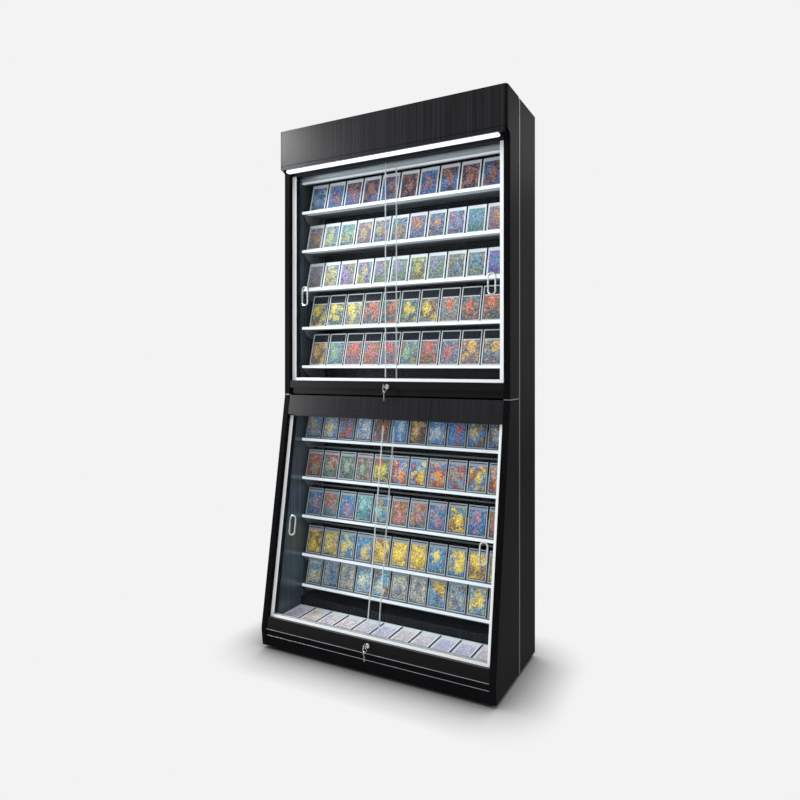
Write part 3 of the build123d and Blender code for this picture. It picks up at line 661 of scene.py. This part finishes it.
def acrylic(name, colour, roughness):
    material, shader = new_material(name, Roughness=roughness, IOR=1.49, Specular_IOR_Level=0.3)
    rub = remap(material, noise(material, own(material), 60.0, 4.0), 0.9, 1.05)
    tone = blend(material, 1.0, colour, rub, "MULTIPLY")
    # Faces that look left or right, the cut sides, are painted dark: a painted shade.
    sideways = calc(material, "ABSOLUTE", split(material, own(material, "Normal"))["X"])
    painted_shade_sides = calc(material, "GREATER_THAN", sideways, 0.6)
    feed(shader, Base_Color=blend(material, painted_shade_sides, tone, "#363d44"))
    return material


printed = print_material()
clear_acrylic = acrylic("clear_acrylic", "#e4eaf0", 0.2)
grey_acrylic = acrylic("grey_acrylic", "#bcc6cf", 0.22)
upper_holders = join(upper_shells, "upper_card_holders")
upper_prints = join(upper_faces, "upper_card_prints")
lower_holders = join(lower_shells, "lower_card_holders")
lower_prints = join(lower_faces, "lower_card_prints")
floor_holders = join(floor_shells, "floor_card_holders")
finish_piece(upper_holders, clear_acrylic, "cabinet", ["upper_cards"])
finish_piece(upper_prints, printed, "cabinet")
finish_piece(lower_holders, grey_acrylic, "cabinet", ["lower_cards"])
finish_piece(lower_prints, printed, "cabinet")
finish_piece(floor_holders, clear_acrylic, "cabinet")
for pattern in list(holders.values()) + list(prints.values()):
    bpy.data.objects.remove(pattern)
print("holder triangles", sum(len(p.vertices) - 2 for p in upper_holders.data.polygons))


# %% [markdown]
# Each door has an oval hole for a finger, lined by a chromed rim that is pressed in from both sides. The
# rim starts as a filled circle whose halves are pulled apart. An inset makes it a ring, an extrusion
# gives it depth, and a bevel rounds it. Two flanges and a neck through the 5 mm glass make one rim.

# %% Model a finger pull
def oval_ring(name, wide, high, rim, y0, y1):
    deselect()
    bpy.ops.mesh.primitive_circle_add(vertices=40, radius=wide / 2, fill_type="NGON",
                                      location=(0, 0, 0), rotation=(math.pi / 2, 0, 0))
    ring = bpy.context.object
    ring.name = name
    bpy.ops.object.transform_apply(location=True, rotation=True, scale=True)
    for vertex in ring.data.vertices:
        vertex.co.z += math.copysign((high - wide) / 2, vertex.co.z)
        vertex.co.y = y0
    pick_faces(ring, lambda face: True)
    bpy.ops.mesh.inset(thickness=rim, depth=0)
    bpy.ops.mesh.delete(type="FACE")
    bpy.ops.mesh.select_all(action="SELECT")
    bpy.ops.mesh.extrude_region_move(TRANSFORM_OT_translate={"value": (0, y1 - y0, 0)})
    bpy.ops.mesh.select_all(action="SELECT")
    bpy.ops.mesh.normals_make_consistent(inside=False)
    bpy.ops.object.mode_set(mode="OBJECT")
    return ring


glass_thick = 5 * mm
flange = 1.5 * mm
front_flange = oval_ring("front_flange", 32 * mm, 80 * mm, 5 * mm, -flange, 0)
neck = oval_ring("neck", 24.8 * mm, 72.8 * mm, 1.4 * mm, 0, glass_thick)
back_flange = oval_ring("back_flange", 32 * mm, 80 * mm, 5 * mm, glass_thick, glass_thick + flange)
bevel(front_flange, 0.6 * mm)
bevel(back_flange, 0.6 * mm)
pull_pattern = join([front_flange, neck, back_flange], "pull_pattern")
print("pull faces", len(pull_pattern.data.polygons))

# %% [markdown]
# The pull sits in its door's glass. The CAD box of each rim gives its middle, and the two lower doors
# lean back with the front, so their rims are turned by the same angle.

# %% Set the pulls in the doors
for level in ("upper", "lower"):
    for side in ("left", "right"):
        name = f"{level}_{side}_door_pull"
        low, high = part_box(name)
        turn = Matrix.Rotation(-lean if level == "lower" else 0.0, 4, "X")
        spot = Matrix.Translation((low + high) / 2) @ turn @ Matrix.Translation((0, -glass_thick / 2, 0))
        pull = copy_at(pull_pattern, spot, f"{level}_{side}_finger_pull")
        finish_piece(pull, chrome, f"{level}_{side}_door", [name])
bpy.data.objects.remove(pull_pattern)
print("pulls", 4)


# %% [markdown]
# Where the two doors of a section overlap, each free edge wears a slim clear seal that keeps dust out.
# It catches the light and shows as a bright line from top to bottom. It is a U of soft PVC round the
# edge of the glass, modelled from a cube whose back is opened by an inset and an extrusion.

# %% Seal the free edges of the glass
def edge_seal(name, edge_x, outward, z0, z1, y0):
    """A U-shaped strip over the glass edge at edge_x, in the doors' own upright frame."""
    wall, leg = 0.7 * mm, 2.4 * mm
    x0, x1 = sorted((edge_x + outward * wall, edge_x - outward * leg))
    seal = start_box(name, (x0, y0 - wall, z0), (x1, y0 + glass_thick + wall, z1))
    pick_faces(seal, lambda face: face.normal.x * outward < -0.9)
    bpy.ops.mesh.inset(thickness=wall, depth=0)
    bpy.ops.mesh.extrude_region_move(TRANSFORM_OT_translate={"value": (outward * leg, 0, 0)})
    bpy.ops.object.mode_set(mode="OBJECT")
    bevel(seal, 0.25 * mm, 1)
    return seal


seal_plastic, seal_shader = new_material("soft_clear_pvc", Roughness=0.3, IOR=1.5, Alpha=0.32)
haze = noise(seal_plastic, own(seal_plastic), 40.0)
feed(seal_shader, Base_Color=ramp(seal_plastic, haze, [(0.3, "#d9dee2"), (0.7, "#f0f3f5")]))
# The upper doors stand upright from z = 0. The lower ones are measured down the slope from the joint.
upright = Matrix.Translation((0, y_front, 0))
for level, place, low_z, high_z in (("upper", upright, 1065, 1888), ("lower", leaning_front, -862, -105)):
    for side, edge_x, outward, y0 in (("left", 22, 1, 35), ("right", -22, -1, 25)):
        seal = edge_seal(f"{level}_{side}_edge_seal", edge_x * mm, outward, low_z * mm, high_z * mm, y0 * mm)
        seal.data.transform(place)
        finish_piece(seal, seal_plastic, f"{level}_{side}_door")
print("seals", 4)

# %% [markdown]
# The cover at the back is held by pan-head screws every 150 mm or so. One is turned from a cylinder with
# a bevelled head and a socket pushed into it, and then copied round the cover.

# %% Screws of the rear cover
head_radius, head_height = 4.5 * mm, 2.4 * mm
deselect()
bpy.ops.mesh.primitive_cylinder_add(vertices=14, radius=head_radius, depth=head_height, location=(0, 0, 0),
                                    rotation=(-math.pi / 2, 0, 0))
screw = bpy.context.object
bpy.ops.object.transform_apply(location=True, rotation=True, scale=True)
pick_faces(screw, lambda face: face.normal.y > 0.9)
bpy.ops.mesh.inset(thickness=2.2 * mm, depth=0)
bpy.ops.mesh.inset(thickness=0.2 * mm, depth=-1.2 * mm)
bpy.ops.object.mode_set(mode="OBJECT")
bevel(screw, 0.6 * mm, 2, 60)
low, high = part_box("rear_cover_panel")
from_side, from_end = 12 * mm, 30 * mm
side_screws, end_gaps = 14, 6
spots = []
for k in range(side_screws):
    z = low.z + from_end + k * (high.z - low.z - 2 * from_end) / (side_screws - 1)
    spots += [(low.x + from_side, z), (high.x - from_side, z)]
for k in range(1, end_gaps):
    x = low.x + from_side + k * (high.x - low.x - 2 * from_side) / end_gaps
    spots += [(x, low.z + from_end), (x, high.z - from_end)]
copies = [copy_at(screw, Matrix.Translation((x, high.y + head_height / 2, z)), "screw") for x, z in spots]
bpy.data.objects.remove(screw)
cover_screws = join(copies, "rear_cover_screws")
zinc = plated("zinc_plate", "#8f9296", "#b9bcc0", 0.3)
finish_piece(cover_screws, zinc, "cabinet")
print("screws", len(spots))

# %% [markdown]
# Two thin bright beads run across the foot of the front: one covers the joint between the lower lock rail
# and the plinth, and one lies a little below it on the plinth board. Each is a strip of bare aluminium
# with rounded edges, pressed into a saw cut. It starts as a box in its own upright frame, and is then
# turned into the slope of the board that it sits on. The plinth board is 18 mm thick, so its front edge at
# the foot lies that far before its back.

# %% Beads across the plinth
rail_low, rail_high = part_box("lower_lock_rail")
plinth_low, plinth_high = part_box("plinth_panel")
plinth_thick, rail_thick = 18 * mm, 20 * mm
below_knee = 23 * mm
knee = Vector((0, plinth_low.y, plinth_high.z))
toe = Vector((0, plinth_high.y - plinth_thick, plinth_low.z))
fall = (toe - knee).normalized()
slope = (joint_z - rail_thick * math.sin(lean) - rail_low.z) / math.cos(lean)
plinth_lean = Matrix.Rotation(math.atan2(fall.y, -fall.z), 4, "X")
on_plinth = Matrix.Translation(knee + fall * below_knee) @ plinth_lean
on_knee = leaning_front @ Matrix.Translation((0, 2 * mm, 1.2 * mm - slope))
beads = []
for place in (on_knee, on_plinth):
    bead = start_box("bead", (rail_low.x, -0.7 * mm, -1.0 * mm), (rail_high.x, 0.6 * mm, 1.0 * mm))
    bevel(bead, 0.3 * mm, 1)
    bead.data.transform(place)
    beads.append(bead)
bead_metal = coated("bare_aluminium_bead", "#85898d", 0.3, fine, metallic=0.3)
finish_piece(join(beads, "plinth_beads"), bead_metal, "cabinet")
print("beads", len(beads), "slope", round(slope, 4))

# %% [markdown]
# The stage is a pale floor under a pale, even background. To the camera the floor is the same pale
# colour, darkened where the case stands close over it. An Ambient Occlusion node gives that contact
# shadow.

# %% Floor
backdrop = "#f3f3f3"
deselect()
bpy.ops.mesh.primitive_plane_add(size=30, location=(0, 0, 0))
floor = bpy.context.object
floor.name = "studio_floor"
floor_paint, floor_shader = new_material("pale_floor", Roughness=0.9, Base_Color=linear("#c8c8c8"),
                                         Specular_IOR_Level=0.0)
contact = add(floor_paint, "ShaderNodeAmbientOcclusion", {"Distance": 0.21}, samples=24).outputs["AO"]
floor_glow = add(floor_paint, "ShaderNodeEmission", {"Color": linear(backdrop)},
                 {"Strength": calc(floor_paint, "POWER", contact, 2.2)})
floor_rays = add(floor_paint, "ShaderNodeLightPath").outputs
floor_seen = calc(floor_paint, "MAXIMUM", floor_rays["Is Camera Ray"], floor_rays["Is Transmission Ray"])
floor_mix = add(floor_paint, "ShaderNodeMixShader", None, {0: floor_seen, 1: floor_shader.outputs[0],
                                                           2: floor_glow.outputs[0]})
feed(floor_paint.node_tree.nodes["Material Output"], Surface=floor_mix.outputs[0])
floor.data.materials.append(floor_paint)
print("floor", floor.name)

# %% [markdown]
# The background is only a colour that the camera, the gloss and the glass see. What lights the case is
# the dimmer part of the world and three broad, soft lamps.

# %% World
world = bpy.data.worlds.new("studio")
bpy.context.scene.world = world
world.use_nodes = True
world.node_tree.nodes.clear()
seen = add(world, "ShaderNodeBackground", {"Color": linear(backdrop), "Strength": 1.0})
lighting = add(world, "ShaderNodeBackground", {"Color": linear("#ffffff"), "Strength": 0.75})
rays = add(world, "ShaderNodeLightPath").outputs
through = calc(world, "MAXIMUM", rays["Is Camera Ray"], rays["Is Transmission Ray"])
either = calc(world, "MAXIMUM", through, rays["Is Glossy Ray"])
choose = add(world, "ShaderNodeMixShader", None, {0: either, 1: lighting.outputs[0], 2: seen.outputs[0]})
add(world, "ShaderNodeOutputWorld", None, {"Surface": choose.outputs[0]})
print("world ready")


# %% [markdown]
# Three small lamps stand where the fascias and the right side mirror them, so that their films show a
# sheen that fades away from the lamp. The sizes are in metres and the powers in watts.

# %% Lamps
def soft_lamp(name, place, target, size, power):
    data = bpy.data.lights.new(name, "AREA")
    data.shape = "RECTANGLE"
    data.size, data.size_y = size
    data.energy = power
    lamp = bpy.data.objects.new(name, data)
    lamp.location = place
    lamp.visible_camera = False
    lamp.visible_transmission = False
    lamp.rotation_euler = (Vector(target) - Vector(place)).to_track_quat("-Z", "Y").to_euler()
    bpy.context.scene.collection.objects.link(lamp)


before = y_front - 1.05
lamps = [
    ("left_lamp", (-3.1, -1.35, 2.5), (-0.4, 0, 1.8), (0.9, 1.8), 40),
    ("right_lamp", (2.6, 0.3, 2.9), (0.4, 0, 1.7), (1.0, 1.0), 45),
    ("top_lamp", (0, -1.6, 4.2), (0, 0, 0.5), (2.4, 2.4), 40),
    ("header_sheen_lamp", (-1.4, before, 2.5), (-0.45, y_front, 2.0), (0.3, 0.3), 19),
    ("middle_sheen_lamp", (-1.55, before, 1.2), (-0.45, y_front, 0.93), (0.24, 0.4), 12),
    ("rim_lamp", (1.12, y_front + 2.1, 2.6), (0.48, y_front + 0.2, 1.9), (0.5, 0.5), 1.6),
]
for lamp in lamps:
    soft_lamp(*lamp)
print("lamps", len(lamps))

# %% [markdown]
# The camera stands level, to the right of the case and a little above half its height. Its place, lens
# and shift were solved from edges measured in the photograph, so the render lines up with it. The
# photograph is 800 pixels wide, and the lens and the shift were measured in its pixels.

# %% Camera
photo_width = 800
camera_data = bpy.data.cameras.new("photo_camera")
camera = bpy.data.objects.new("photo_camera", camera_data)
bpy.context.scene.collection.objects.link(camera)
camera_data.sensor_width = 36
camera_data.lens = 631.08 / photo_width * 36
camera_data.shift_y = -33.55 / photo_width
camera_data.clip_start = 0.05
camera_data.clip_end = 60
camera.location = (1.16378, y_front - 2.07768, 1.10767)
camera.rotation_euler = (math.radians(90), 0, math.radians(28.06))
bpy.context.scene.camera = camera
bpy.context.scene.view_settings.view_transform = "Standard"
print("camera at", [round(c, 3) for c in camera.location])
